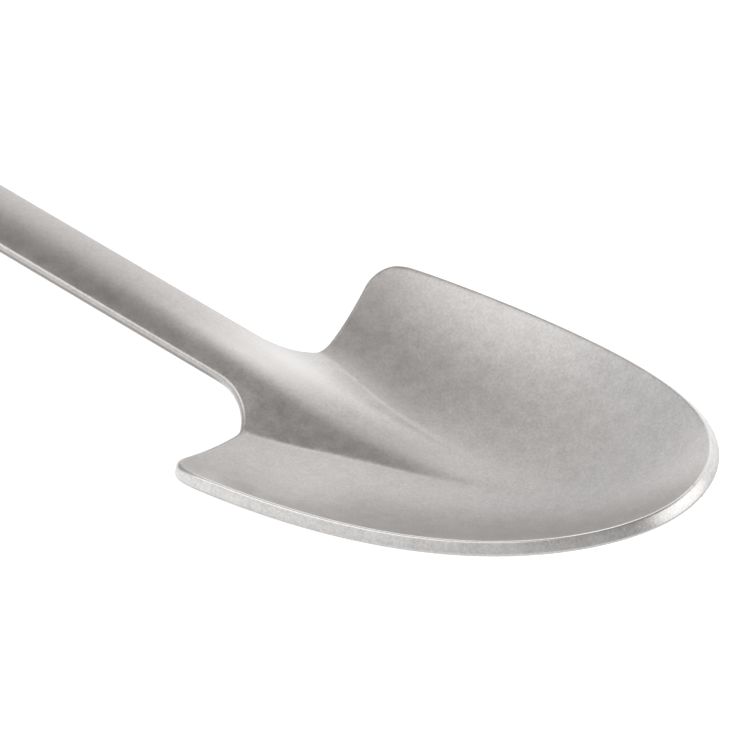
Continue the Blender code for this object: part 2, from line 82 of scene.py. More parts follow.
TANG_END = 0.158
STRAP_AXIS = 0.0024

# Rounding and tone of the head. Pairs in brackets are where a change starts and where it is complete.
# The tones were set to the photo's grey levels. They are painted highlights and painted shade that stand
# for reflections and shade on the steel:
# one photo can't tell wear from reflections, and none of these tones is wear that was seen.
RIM_ROUNDING = 0.0005            # of the digging edge
NECK_ROUNDING = 0.0011           # of the neck and the rear corners
ROUNDING_CHANGE = (-0.004, 0.016)
# Soft painted spots of highlight and shade on the upper skin: x, y, reach along, reach across, lighter (+)
# or darker (-)
PAINTED_LIGHT_SPOTS = [(-0.002, 0.0040, 0.014, 0.0050, 0.70),
              (-0.012, -0.0005, 0.012, 0.0025, 0.22),
              (0.029, -0.0020, 0.012, 0.0045, -0.34),
              (0.004, 0.0345, 0.007, 0.0080, -0.20),
              (0.003, -0.0350, 0.008, 0.0060, -0.36)]
# Painted shade in the crease where the dish meets the ridge
VALLEY_PAINTED_SHADE = 0.33           # of the dish beside the ridge, on the +Y side only,
VALLEY_EDGE = (0.0, 0.0003)      # starting where the ridge's flank drops below the dish,
VALLEY_REACH = 0.005             # and fading as the flank drops this far below it
VALLEY_SIDE = (0.0, 0.004)
VALLEY_START = (NECK_ONLY_BEHIND, -0.002)
VALLEY_FADE = (0.018, 0.034)
CORNER_SPAN = (0.004, 0.012)     # from the corners to the neck, behind, and to the digging edge, ahead
NEAR_EDGE = (0.022, 0.010)       # across Y, the digging edge goes from painted shade to a painted highlight
# Painted highlight along the near side of the digging edge, painted shade on its far side, round the rear
# corners and on the neck's edges
EDGE_PAINTED_HIGHLIGHT = 0.9
EDGE_PAINTED_SHADE = {"far": 0.6, "corner": 0.9, "neck": 0.2, "neck_face": 0.5}
# Painted shade on the lower part of the cut face, standing for the shaded floor it reflects
LOWER_FACE_SHADE = {"blade": 0.5, "neck": 0.8}
LOWER_FACE_SHADE_FROM = {"blade": 0.72, "neck": 0.15}   # shares of the sheet's thickness
LOWER_FACE_SHADE_CHANGE = 0.22

# Shaft, tee and handle, as in the CAD
TEE_DISTANCE = 0.310
TUBE_RADIUS = 0.011
TUBE_BORE = 0.0095
COLLAR_FRONT = 0.092
COLLAR_FACE = 0.003
COLLAR_LENGTH = 0.018
COLLAR_RADIUS = 0.013
RIVET_RADIUS = 0.0025
RIVET_HEAD_RADIUS = 0.0045
RIVET_HEAD_HEIGHT = 0.0015
TANG_RIVETS_AT = {"front": 0.116, "rear": 0.144}
BARREL_RADIUS = 0.0135
TEE_HALF_WIDTH = 0.019
TEE_REACH = 0.040
BOSS_RADIUS = 0.008
BOSS_END = -0.027
EAR_RADIUS = 0.0052
EAR_HEIGHT = 0.009
SCREW_PLACES = [(0.030, 0.0160), (0.030, -0.0160), (-0.0155, 0.0125), (-0.0155, -0.0125)]
SCREW_RADIUS = 0.002
SCREW_HEAD_RADIUS = 0.00375
SCREW_HEAD_HEIGHT = 0.0026
SCREW_END = -0.0138
NUT_ACROSS_FLATS = 0.007
NUT_THICKNESS = 0.0032
SHAFT_RIVET_AT = 0.024
CROSSBAR_HALF_LENGTH = 0.062
GRIP_RADIUS = 0.0160
GRIP_WAIST = 0.0147
GRIP_RIBS = 7
CAP_RADIUS = 0.0145
CAP_THICKNESS = 0.0035
CAP_PLUG_DEPTH = 0.010
EYE_AT = -0.034
EYE_RADIUS = 0.006
EYE_HALF_THICKNESS = 0.002
EYE_HOLE_RADIUS = 0.0025
STUD_RADIUS = 0.0025
STUD_FLANGE_RADIUS = 0.005
STUD_FLANGE = (-0.0189, -0.0165)
RING_RADIUS = 0.011
RING_WIRE_RADIUS = 0.0015
RING_DROOP = radians(43.1)

# Finer detail than the CAD holds
TUBE_ROUNDING = 0.0003           # of the tubes' cut ends
HOLE_SEGMENTS = 48
DIMPLE_RADIUS = 0.0009           # in the rivets' heads
DIMPLE_DEPTH = 0.00035
GROOVE_AT = 0.0045               # round the collar, from its rear end
GROOVE_DEPTH = 0.0005
GROOVE_HALF_WIDTH = 0.0005
GROOVE_SLOPE = 0.0004            # of each of its walls, along the collar
NUT_MOUTH = 0.0003               # chamfer at both ends of the nuts' thread
CAP_RING_RADIUS = 0.0085         # pressed into the end caps' faces
CAP_RING_DEPTH = 0.0004
CAP_ROUNDING = 0.0018
SOCKET_ACROSS_FLATS = 0.0030
SOCKET_DEPTH = 0.0016
THREAD_PITCH = 0.0007
THREAD_DEPTH = 0.0003
VOXEL = 0.00036

# Rest attitude, as in the CAD
REST_PITCH = radians(23.0)
REST_HEIGHT = 0.00847
REST_SHIFT = 0.1349

# Room: brightness by height, from the horizon to overhead, and by side, from -Y to +Y
FRONT_BY_HEIGHT = [(0.0, (1.06, 1.06, 1.06)), (0.25, (0.86, 0.86, 0.86)), (0.50, (0.60, 0.60, 0.595)),
                   (0.76, (0.37, 0.365, 0.36)), (1.0, (0.25, 0.235, 0.225))]
BACK_BY_HEIGHT = [(0.0, (0.64, 0.64, 0.64)), (0.36, (0.64, 0.635, 0.63)), (0.60, (0.58, 0.57, 0.56)),
                  (0.78, (0.40, 0.385, 0.375)), (0.88, (0.235, 0.22, 0.21)), (1.0, (0.245, 0.23, 0.22))]
FRONT_SHARE_BY_SIDE = [(0.0, (1.0, 1.0, 1.0)), (0.25, (1.0, 1.0, 1.0)), (0.5, (0.0, 0.0, 0.0))]
GAIN_BY_SIDE = [(0.0, (0.60, 0.60, 0.60)), (0.80, (0.60, 0.60, 0.60)), (0.93, (0.80, 0.80, 0.80)),
                (1.0, (1.0, 1.0, 1.0))]
ROOM_STRENGTH = 2.0

# Camera
CAMERA_AIM = Vector((0.1549, 0.0, 0.0288))
CAMERA_DISTANCE = 0.66735
CAMERA_AZIMUTH = radians(27.92)
CAMERA_ELEVATION = radians(45.66)
CAMERA_ROLL = radians(8.89)
CAMERA_LENS = 158.2

# Floor and lights
FLOOR_TONE = 0.72
FLOOR_GLOW = 0.60
ROOT_AIM = Vector((0.133, 0.0, 0.013))   # the ridge's root, for the small light close to it


# ---------------------------------------------------------------- frames
def working_frames():
    blade = (Matrix.Translation((REST_SHIFT, 0, REST_HEIGHT))
             @ Matrix.Rotation(-REST_PITCH, 4, "Y"))
    up_neck = Vector((-cos(NECK_ANGLE), 0, sin(NECK_ANGLE)))
    under_crest = Vector((-sin(NECK_ANGLE), 0, -cos(NECK_ANGLE))) * STRAP_AXIS
    origin = Vector((0, 0, CREST_AT_REAR)) + under_crest + up_neck * TEE_DISTANCE
    shaft = blade @ Matrix.Translation(origin) @ Matrix.Rotation(NECK_ANGLE, 4, "Y")
    return blade, shaft


BLADE, SHAFT = working_frames()


# ---------------------------------------------------------------- material helpers
class Nodes:
    """A short way to build one material's node tree around a Principled shader."""

    def __init__(self, name):
        self.material = bpy.data.materials.new(name)
        self.material.use_nodes = True
        self.tree = self.material.node_tree
        self.shader = self.tree.nodes["Principled BSDF"]
        self.place = self.add("ShaderNodeTexCoord").outputs["Object"]

    def add(self, kind, **values):
        node = self.tree.nodes.new(kind)
        for key, value in values.items():
            setattr(node, key, value)
        return node

    def link(self, output, socket):
        self.tree.links.new(output, socket)

    def stretched(self, scale):
        mapping = self.add("ShaderNodeMapping")
        mapping.inputs["Scale"].default_value = scale
        self.link(self.place, mapping.inputs["Vector"])
        return mapping.outputs["Vector"]

    def noise(self, scale, detail=2.0, roughness=0.5, vector=None):
        node = self.add("ShaderNodeTexNoise")
        node.inputs["Scale"].default_value = scale
        node.inputs["Detail"].default_value = detail
        node.inputs["Roughness"].default_value = roughness
        self.link(vector or self.place, node.inputs["Vector"])
        return node.outputs["Fac"]

    def span(self, value, low, high, low_in=0.3, high_in=0.7):
        node = self.add("ShaderNodeMapRange")
        node.inputs["From Min"].default_value = low_in
        node.inputs["From Max"].default_value = high_in
        node.inputs["To Min"].default_value = low
        node.inputs["To Max"].default_value = high
        self.link(value, node.inputs["Value"])
        return node.outputs["Result"]

    def mix(self, factor, first, second):
        node = self.add("ShaderNodeMix", data_type="RGBA")
        self.link(factor, node.inputs["Factor"])
        for value, socket in ((first, node.inputs["A"]), (second, node.inputs["B"])):
            if isinstance(value, tuple):
                socket.default_value = (*value, 1.0)
            else:
                self.link(value, socket)
        return node.outputs["Result"]

    def blend_values(self, first, second, share):
        node = self.add("ShaderNodeMix", data_type="FLOAT")
        node.inputs["Factor"].default_value = share
        self.link(first, node.inputs["A"])
        self.link(second, node.inputs["B"])
        return node.outputs["Result"]

    def bump(self, height, distance, strength=1.0, below=None):
        node = self.add("ShaderNodeBump")
        node.inputs["Strength"].default_value = strength
        node.inputs["Distance"].default_value = distance
        self.link(height, node.inputs["Height"])
        if below is not None:
            self.link(below, node.inputs["Normal"])
        return node.outputs["Normal"]

    def surface(self, colour=None, roughness=None, normal=None, metallic=None):
        for name, output in (("Base Color", colour), ("Roughness", roughness), ("Normal", normal)):
            if output is not None:
                self.link(output, self.shader.inputs[name])
        if metallic is not None:
            self.shader.inputs["Metallic"].default_value = metallic
        return self.material


def edge_factor(nodes, radius):
    """1 along worn convex edges, 0 elsewhere."""
    bevel = nodes.add("ShaderNodeBevel", samples=4)
    bevel.inputs["Radius"].default_value = radius
    geometry = nodes.add("ShaderNodeNewGeometry")
    dot = nodes.add("ShaderNodeVectorMath", operation="DOT_PRODUCT")
    nodes.link(bevel.outputs["Normal"], dot.inputs[0])
    nodes.link(geometry.outputs["Normal"], dot.inputs[1])
    return nodes.span(dot.outputs["Value"], 1.0, 0.0, low_in=0.90, high_in=1.0)


# ---------------------------------------------------------------- materials
ROUGH_CHANGE = 0.04
WAVE_DEPTH = 0.00002
NECK_SHADE_SPAN = (0.085, 0.125)       # painted shade on the neck: full behind the first X, and none past the second
# How dark the painted shade on the neck gets
NECK_SHADE_AMOUNT = 0.38


def painted_light_share(nodes, amount):
    """How far the painted light attribute has gone towards an amount, from 0 to 1. Above 0 it is painted
    highlight, below 0 painted shade.
    """
    painted_light = nodes.add("ShaderNodeAttribute", attribute_name="painted_light").outputs["Fac"]
    return nodes.span(painted_light, 0.0, 1.0, low_in=0.0, high_in=amount)


def blasted_steel(name, dark, light, rough, pit_depth):
    """Bead-blasted stainless: a fine pitted grain over soft cloudy patches."""
    nodes = Nodes(name)
    grain = nodes.noise(scale=1700.0, detail=4.0, roughness=0.7)
    clouds = nodes.noise(scale=330.0, detail=5.0, roughness=0.65)
    tone = nodes.blend_values(grain, clouds, share=0.35)
    colour = nodes.mix(nodes.span(tone, 0.0, 1.0, low_in=0.36, high_in=0.64), dark, light)
    roughness = nodes.span(clouds, rough - ROUGH_CHANGE, rough + ROUGH_CHANGE)
    pits = nodes.bump(grain, pit_depth)
    waves = nodes.bump(clouds, WAVE_DEPTH, below=pits)
    return nodes, colour, roughness, waves


def head_steel():
    """Blasted steel with painted shade on the neck, and painted highlights and painted shade from the
    painted light attribute.
    """
    nodes, colour, roughness, waves = blasted_steel(
        "bead_blasted_stainless", dark=(0.505, 0.49, 0.483), light=(0.665, 0.652, 0.645),
        rough=0.33, pit_depth=0.000015)
    # Tones of the painted shade, the painted highlight and the neck's painted shade
    painted_shade_tone, painted_highlight_tone, neck_shade_tone = (0.30, 0.288, 0.282), (0.86, 0.85, 0.845), (0.43, 0.415, 0.41)
    split = nodes.add("ShaderNodeSeparateXYZ")
    nodes.link(nodes.place, split.inputs["Vector"])
    # Painted shade on the neck, full further back along it and fading out just behind the blade
    neck_shade = nodes.span(split.outputs["X"], NECK_SHADE_AMOUNT, 0.0, *NECK_SHADE_SPAN)
    colour = nodes.mix(neck_shade, colour, neck_shade_tone)
    colour = nodes.mix(painted_light_share(nodes, 1.0), colour, painted_highlight_tone)
    colour = nodes.mix(painted_light_share(nodes, -1.0), colour, painted_shade_tone)
    return nodes.surface(colour, roughness, waves, 1.0)


def edge_steel():
    """The cut edge: coarser grain, with painted highlights and painted shade from the painted light
    attribute, and smoother where it is lighter.
    """
    nodes, colour, roughness, waves = blasted_steel(
        "blasted_cut_edge", dark=(0.54, 0.53, 0.522), light=(0.73, 0.72, 0.712),
        rough=0.28, pit_depth=0.000016)
    # Tones of the painted shade and the painted highlight
    painted_shade_tone, painted_highlight_tone = (0.24, 0.225, 0.215), (0.93, 0.92, 0.91)
    colour = nodes.mix(painted_light_share(nodes, 1.0), colour, painted_highlight_tone)
    colour = nodes.mix(painted_light_share(nodes, -1.4), colour, painted_shade_tone)
    painted_light = nodes.add("ShaderNodeAttribute", attribute_name="painted_light").outputs["Fac"]
    polish = nodes.span(painted_light, 0.0, 0.16, low_in=0.2, high_in=0.9)
    smoothed = nodes.add("ShaderNodeMath", operation="SUBTRACT")
    nodes.link(roughness, smoothed.inputs[0])
    nodes.link(polish, smoothed.inputs[1])
    return nodes.surface(colour, smoothed.outputs["Value"], waves, 1.0)


def brushed_steel(name, scale):
    """Stainless with fine brush lines, drawn out along the axis with the smallest scale."""
    nodes = Nodes(name)
    brush = nodes.noise(scale=1.0, detail=3.0, roughness=0.6, vector=nodes.stretched(scale))
    clouds = nodes.noise(scale=90.0, detail=3.0)
    dark, light = (0.48, 0.465, 0.455), (0.62, 0.605, 0.595)
    colour = nodes.mix(nodes.span(brush, 0.0, 1.0), dark, light)
    roughness = nodes.span(nodes.blend_values(brush, clouds, share=0.4), 0.26, 0.40)
    lines = nodes.bump(brush, distance=0.000008)
    return nodes.surface(colour, roughness, lines, 1.0)


def fastener_steel():
    nodes = Nodes("fastener_stainless")
    fine = nodes.noise(scale=2600.0, detail=2.0)
    clouds = nodes.noise(scale=300.0, detail=3.0)
    dark, light = (0.55, 0.54, 0.52), (0.68, 0.67, 0.65)
    colour = nodes.mix(nodes.span(clouds, 0.0, 1.0), dark, light)
    roughness = nodes.span(nodes.blend_values(fine, clouds, share=0.5), 0.20, 0.34)
    grain = nodes.bump(fine, distance=0.000006)
    return nodes.surface(colour, roughness, grain, 1.0)


def black_nylon():
    """Glass-filled nylon with a spark-eroded mould texture and paler rubbed edges."""
    nodes = Nodes("black_nylon")
    grain = nodes.noise(scale=1700.0, detail=3.0, roughness=0.6)
    clouds = nodes.noise(scale=120.0, detail=3.0)
    dark, light, rubbed = (0.016, 0.016, 0.017), (0.026, 0.026, 0.028), (0.070, 0.070, 0.072)
    colour = nodes.mix(nodes.span(clouds, 0.0, 1.0), dark, light)
    colour = nodes.mix(edge_factor(nodes, radius=0.0006), colour, rubbed)
    roughness = nodes.span(nodes.blend_values(grain, clouds, share=0.3), 0.42, 0.58)
    texture = nodes.bump(grain, distance=0.00003)
    return nodes.surface(colour, roughness, texture, 0.0)


def black_rubber():
    """Matte moulded rubber with a dusty bloom."""
    nodes = Nodes("black_rubber")
    grain = nodes.noise(scale=2400.0, detail=2.0, roughness=0.6)
    bloom = nodes.noise(scale=70.0, detail=4.0, roughness=0.6)
    clean, dusty = (0.018, 0.018, 0.018), (0.042, 0.041, 0.039)
    colour = nodes.mix(nodes.span(bloom, 0.0, 1.0), clean, dusty)
    roughness = nodes.span(nodes.blend_values(grain, bloom, share=0.5), 0.66, 0.86)
    texture = nodes.bump(grain, distance=0.00002)
    return nodes.surface(colour, roughness, texture, 0.0)


HEAD_STEEL = head_steel()
EDGE_STEEL = edge_steel()
SHAFT_STEEL = brushed_steel("shaft_stainless", (30.0, 4200.0, 4200.0))
CROSSBAR_STEEL = brushed_steel("crossbar_stainless", (4200.0, 30.0, 4200.0))
TURNED_STEEL = brushed_steel("turned_stainless", (5200.0, 60.0, 60.0))
FASTENER_STEEL = fastener_steel()
NYLON = black_nylon()
RUBBER = black_rubber()


# ---------------------------------------------------------------- mesh and piece helpers
LAY = {"X": Matrix.Rotation(pi / 2, 4, "Y"), "Y": Matrix.Rotation(-pi / 2, 4, "X"), "Z": Matrix()}


def new_piece(name, mesh, placing, materials, node, body=BODY, smooth_angle=35):
    """Shows a finished mesh in place of a CAD node. Its vertices go to the row frame."""
    mesh.transform(placing)
    if mesh.materials:           # clearing an empty list would reset the faces' slot numbers
        mesh.materials.clear()
    for material in materials:
        mesh.materials.append(material)
    mesh.shade_smooth()
    mesh.set_sharp_from_angle(angle=radians(smooth_angle))
    piece = bpy.data.objects.new(name, mesh)
    bpy.context.scene.collection.objects.link(piece)
    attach(piece, body)
    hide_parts(node)
    return piece


def add_grid(shape, rows, material=0, flipped=False, painted_light=None):
    """Adds a grid of faces. Painted light, if given, is a number for each point, kept as an attribute:
    painted highlight above 0, painted shade below 0.
    """
    layers = shape.verts.layers.float
    layer = layers.get("painted_light") or layers.new("painted_light")
    grid = [[shape.verts.new(point) for point in row] for row in rows]
    if painted_light:
        for row, values in zip(grid, painted_light):
            for vertex, value in zip(row, values):
                vertex[layer] = value
    for back, front in zip(grid, grid[1:]):
        for column in range(len(back) - 1):
            corners = [back[column + 1], back[column], front[column], front[column + 1]]
            face = shape.faces.new(reversed(corners) if flipped else corners)
            face.material_index = material


def closed_mesh(shape, name):
    """Welds a closed set of grids into one mesh."""
    bmesh.ops.remove_doubles(shape, verts=shape.verts, dist=WELD)
    bmesh.ops.recalc_face_normals(shape, faces=shape.faces)
    mesh = bpy.data.meshes.new(name)
    shape.to_mesh(mesh)
    shape.free()
    return mesh


def rounded_corner(before, corner, after, radius, count):
    """Points on the arc that rounds a corner of an outline."""
    corner = Vector(corner)
    to_before = (Vector(before) - corner).normalized()
    to_after = (Vector(after) - corner).normalized()
    half = to_before.angle(to_after) / 2
    centre = corner + (to_before + to_after).normalized() * radius / sin(half)
    start = corner + to_before * radius / tan(half) - centre
    end = corner + to_after * radius / tan(half) - centre
    sweep = start.angle_signed(end)
    return [centre + Matrix.Rotation(-sweep * step / (count - 1), 2) @ start for step in range(count)]


def softened(corners, radius, closed=False, count=5):
    """An outline with its corners rounded, apart from the first and last if it is open."""
    outline = []
    for number, corner in enumerate(corners):
        if not closed and number in (0, len(corners) - 1):
            outline.append(Vector(corner))
        else:
            after = corners[(number + 1) % len(corners)]
            outline += rounded_corner(corners[number - 1], corner, after, radius, count)
    return outline


def turned(profile, axis="Z", place=(0, 0, 0), closed=False, segments=96):
    """A mesh turned about an axis from (radius, height) points."""
    shape = bmesh.new()
    points = list(profile) + list(profile[:1]) * closed
    rows = []
    for step in range(segments + 1):
        turn = 2 * pi * step / segments
        rows.append([(radius * cos(turn), radius * sin(turn), height) for radius, height in points])
    add_grid(shape, rows)
    mesh = closed_mesh(shape, "turned")
    mesh.transform(Matrix.Translation(place) @ LAY[axis])
    return mesh


def rod(radius, start, end, axis="Z", place=(0, 0, 0), segments=96):
    """A plain round solid between two heights, for joining to others or cutting them."""
    return turned([(0.0, end), (radius, end), (radius, start), (0.0, start)], axis, place,
                  segments=segments)


def applied(mesh, kind, **settings):
    """The mesh after one modifier."""
    carrier = bpy.data.objects.new("carrier", mesh)
    bpy.context.scene.collection.objects.link(carrier)
    modifier = carrier.modifiers.new("change", kind)
    for key, value in settings.items():
        setattr(modifier, key, value)
    graph = bpy.context.evaluated_depsgraph_get()
    result = bpy.data.meshes.new_from_object(carrier.evaluated_get(graph))
    bpy.data.objects.remove(carrier)
    return result


def boolean(mesh, operation, tool):
    holder = bpy.data.objects.new("tool", tool)
    bpy.context.scene.collection.objects.link(holder)
    result = applied(mesh, "BOOLEAN", operation=operation, object=holder, solver="EXACT")
    bpy.data.objects.remove(holder)
    return result


def joined(meshes):
    result = meshes[0]
    for mesh in meshes[1:]:
        result = boolean(result, "UNION", mesh)
    return result


# ---------------------------------------------------------------- head
def smooth_step(value, low, high):
    part = min(max((value - low) / (high - low), 0.0), 1.0)
    return part * part * (3.0 - 2.0 * part)


def dish_height(x, y):
    """Upper surface of the blade without its ridge."""
    u = x / BLADE_LENGTH
    centre = -4.0 * SAG * u * (1.0 - u) * (1.0 + SAG_SKEW * (u - 0.5))
    lift = WING_LIFT[0] + WING_LIFT[1] * u + WING_LIFT[2] * u * u
    return centre + lift * (y / BLADE_HALF_WIDTH) ** 2


def arch_height(x, y):
    """Upper surface of the neck and ridge."""
    crest = CREST_AT_REAR - NECK_SLOPE * x + CREST_BEND * max(x - CREST_BEND_FROM, 0.0) ** 2
    neck, ridge = FLANK_FROM
    limit = (neck + (ridge - neck) * smooth_step(x, *FLANK_CHANGE)) * ARCH_RADIUS
    inside = min(abs(y), limit)
    drop = ARCH_RADIUS - sqrt(ARCH_RADIUS ** 2 - inside ** 2)
    slope = limit / sqrt(ARCH_RADIUS ** 2 - limit ** 2)
    return crest - drop - slope * (abs(y) - inside)


def foot_height(x, y):
    """How far the dish has risen where it meets the ridge. It does so on the +Y side only."""
    return FOOT * smooth_step(y, *FOOT_SIDE) * (1.0 - smooth_step(x, *FOOT_FADE))


def head_height(x, y):
    """The higher of arch and dish, with a soft foot on the dish and a narrow crease between them."""
    arch = arch_height(x, y)
    dish = dish_height(x, y)
    fade = min(max((x - NECK_ONLY_BEHIND) / CREASE_FADE, 0.0), 1.0)
    foot = fade * foot_height(x, y)
    dish += foot * exp(-max(dish - arch + foot, 0.0) / FOOT_REACH)
    return 0.5 * (arch + dish + hypot(arch - dish, fade * CREASE))


def head_normal(x, y):
    """Unit normal of the upper skin, from its slopes."""
    step = 0.0001
    slope_x = (head_height(x + step, y) - head_height(x - step, y)) / (2 * step)
    slope_y = (head_height(x, y + step) - head_height(x, y - step)) / (2 * step)
    return Vector((-slope_x, -slope_y, 1.0)).normalized()


def side_width(x):
    """Half width of the blade ahead of its rear corners."""
    if x < WIDEST_AT:
        back = (WIDEST_AT - x) / WIDEST_AT
        return BLADE_HALF_WIDTH - (BLADE_HALF_WIDTH - REAR_HALF_WIDTH) * back ** 2
    ahead = min((x - WIDEST_AT) / (BLADE_LENGTH - WIDEST_AT), 1.0)
    return BLADE_HALF_WIDTH * (1.0 - ahead ** SIDE_POWER) ** (1.0 / NOSE_POWER)


def side_slope(x):
    return 2.0 * (BLADE_HALF_WIDTH - REAR_HALF_WIDTH) * (WIDEST_AT - x) / WIDEST_AT ** 2


def corner_touch(rounds=20):
    """Where the corner's arc meets the side of the blade, so that the two run on smoothly."""
    touch = CORNER_RADIUS
    for _ in range(rounds):
        turn = atan(side_slope(touch))
        touch = CORNER_RADIUS / tan((pi / 2 + turn) / 2) * cos(turn)
    return touch


def blade_outline(side_count, arc_count, rear_count=12):
    """Half outline on +Y, from the start of the neck's fillet round to the tip."""
    touch = corner_touch()
    behind = (-0.060, NECK_HALF_WIDTH)
    root = (-REAR_EDGE_SETBACK, NECK_HALF_WIDTH)
    shoulder = (0.0, side_width(touch) - touch * side_slope(touch))
    ahead = (touch, side_width(touch))
    fillet = rounded_corner(behind, root, shoulder, FILLET_RADIUS, arc_count)
    corner = rounded_corner(root, shoulder, ahead, CORNER_RADIUS, arc_count)
    rear = [fillet[-1].lerp(corner[0], step / rear_count) for step in range(1, rear_count)]
    first = corner[-1].x
    side = []
    for step in range(1, side_count + 1):
        left = 1.0 - step / side_count
        x = first + (BLADE_LENGTH - first) * (1.0 - left ** 2)
        side.append(Vector((x, side_width(x))))
    return fillet + rear + corner + side


def head_edge(neck_count, side_count, arc_count):
    """The +Y edge from the tang's end to the tip, as (centre x of its row, point, outward)."""
    outline = blade_outline(side_count, arc_count)
    tang_x = -TANG_END * cos(NECK_ANGLE)
    first = outline[0].x
    length = 0.0
    lengths = [0.0]
    for start, end in zip(outline, outline[1:]):
        length += (end - start).length
        lengths.append(length)
    centres = [tang_x + (first - tang_x) * step / neck_count for step in range(neck_count)]
    points = [Vector((x, NECK_HALF_WIDTH)) for x in centres] + outline
    centres += [first + (BLADE_LENGTH - first) * part / length for part in lengths]
    beyond = Vector((points[-2].x, -points[-2].y))
    before = [points[0] - Vector((0.001, 0))] + points[:-1]
    after = points[1:] + [beyond]
    edge = []
    for centre, point, back, front in zip(centres, points, before, after):
        along = (front - back).normalized()
        edge.append((centre, point, Vector((-along.y, along.x))))
    return edge


def rounding_at(x):
    """The neck and the rear corners are rounded over, and the digging edge is crisper."""
    return NECK_ROUNDING + (RIM_ROUNDING - NECK_ROUNDING) * smooth_step(x, *ROUNDING_CHANGE)


def skin_rows(edge, columns, depth):
    """Grid of points on the upper skin, or on the lower one when depth is the sheet's thickness."""
    rows = []
    for centre, point, outward in edge:
        inset = point - outward * rounding_at(point.x)
        row = []
        for column in range(-columns, columns + 1):
            part = abs(column) / columns
            x = centre + (inset.x - centre) * part
            y = inset.y * column / columns
            row.append(Vector((x, y, head_height(x, y))) - head_normal(x, y) * depth)
        rows.append(row)
    return rows


def skin_painted_light(x, y):
    """Painted highlight above 0 and painted shade below 0, for a place on the upper skin."""
    spots = sum(amount * exp(-((x - at_x) / along) ** 2 - ((y - at_y) / across) ** 2)
                for at_x, at_y, along, across, amount in PAINTED_LIGHT_SPOTS)
    # Painted shade in the crease beside the ridge, on the +Y side
    depth = dish_height(x, y) + foot_height(x, y) - arch_height(x, y)
    beside_ridge = smooth_step(y, *VALLEY_SIDE) * smooth_step(x, *VALLEY_START)
    valley = smooth_step(depth, *VALLEY_EDGE) * exp(-max(depth, 0.0) / VALLEY_REACH)
    return spots - VALLEY_PAINTED_SHADE * valley * beside_ridge * (1.0 - smooth_step(x, *VALLEY_FADE))


def rim_painted_light(point, turn, down):
    """Painted highlight above 0 and painted shade below 0. The turn goes from 0 on the skin to 1 on the
    face.
    """
    neck = smooth_step(-point.x, *CORNER_SPAN)
    digging = smooth_step(point.x, *CORNER_SPAN)
    corner = 1.0 - neck - digging
    near = smooth_step(point.y, *NEAR_EDGE)
    # Painted highlight on the near side of the digging edge's rounding, painted shade on its far side and
    # round the corners
    near_highlight = (EDGE_PAINTED_HIGHLIGHT + EDGE_PAINTED_SHADE["far"]) * near - EDGE_PAINTED_SHADE["far"]
    rim_light = digging * near_highlight - EDGE_PAINTED_SHADE["corner"] * corner
    # Painted shade on the neck's edges, darker towards the cut face
    neck_shade = neck * (EDGE_PAINTED_SHADE["neck"] + EDGE_PAINTED_SHADE["neck_face"] * turn)
    high = rim_light * sin(pi * turn) * (down < SHEET / 2) - neck_shade
    # Painted shade on the lower part of the cut face
    shade_start = SHEET * (LOWER_FACE_SHADE_FROM["blade"] + (LOWER_FACE_SHADE_FROM["neck"] - LOWER_FACE_SHADE_FROM["blade"]) * neck)
    shade_amount = LOWER_FACE_SHADE["blade"] + (LOWER_FACE_SHADE["neck"] - LOWER_FACE_SHADE["blade"]) * neck
    return high - shade_amount * smooth_step(down, shade_start, shade_start + LOWER_FACE_SHADE_CHANGE * SHEET)


def rim_rows(edge, arc_count=7):
    """Rows of points and of their painted highlight and shade round the cut edge, from the upper skin to
    the lower.
    """
    turns = [pi / 2 * step / (arc_count - 1) for step in range(arc_count)]
    both_sides = edge + [(centre, point * Vector((1, -1)), outward * Vector((1, -1)))
                         for centre, point, outward in reversed(edge[:-1])]
    rows = []
    painted_light = []
    for _, point, outward in both_sides:
        rounding = rounding_at(point.x)
        x, y = point - outward * rounding
        normal = head_normal(x, y)
        side = Vector((*outward, 0.0))
        side = (side - normal * side.dot(normal)).normalized()
        start = Vector((x, y, head_height(x, y)))
        upper = [(rounding * sin(turn), rounding * (1.0 - cos(turn))) for turn in turns]
        middle = [(rounding, SHEET * share) for share in (0.45, 0.55)]
        lower = [(out, SHEET - down) for out, down in reversed(upper)]
        rows.append([start + side * out - normal * down for out, down in upper + middle + lower])
        painted_light.append([rim_painted_light(point, out / rounding, down) for out, down in upper + middle + lower])
    return rows, painted_light


def make_head(columns=75, neck_count=80, side_count=130, arc_count=18):
    edge = head_edge(neck_count, side_count, arc_count)
    upper = skin_rows(edge, columns, 0.0)
    lower = skin_rows(edge, columns, SHEET)
    shape = bmesh.new()
    add_grid(shape, upper, painted_light=[[skin_painted_light(point.x, point.y) for point in row] for row in upper])
    add_grid(shape, lower, flipped=True)
    rim, painted_light = rim_rows(edge)
    add_grid(shape, rim, material=1, painted_light=painted_light)
    add_grid(shape, [upper[0], lower[0]], material=1)
    new_piece("shovel_head", closed_mesh(shape, "shovel_head"), BLADE, [HEAD_STEEL, EDGE_STEEL],
              "head_pressing", smooth_angle=60)


# ---------------------------------------------------------------- shaft and its joint
def along_neck(distance):
    """The shaft-frame X of a place given by its distance from the blade's rear edge."""
    return TEE_DISTANCE - distance


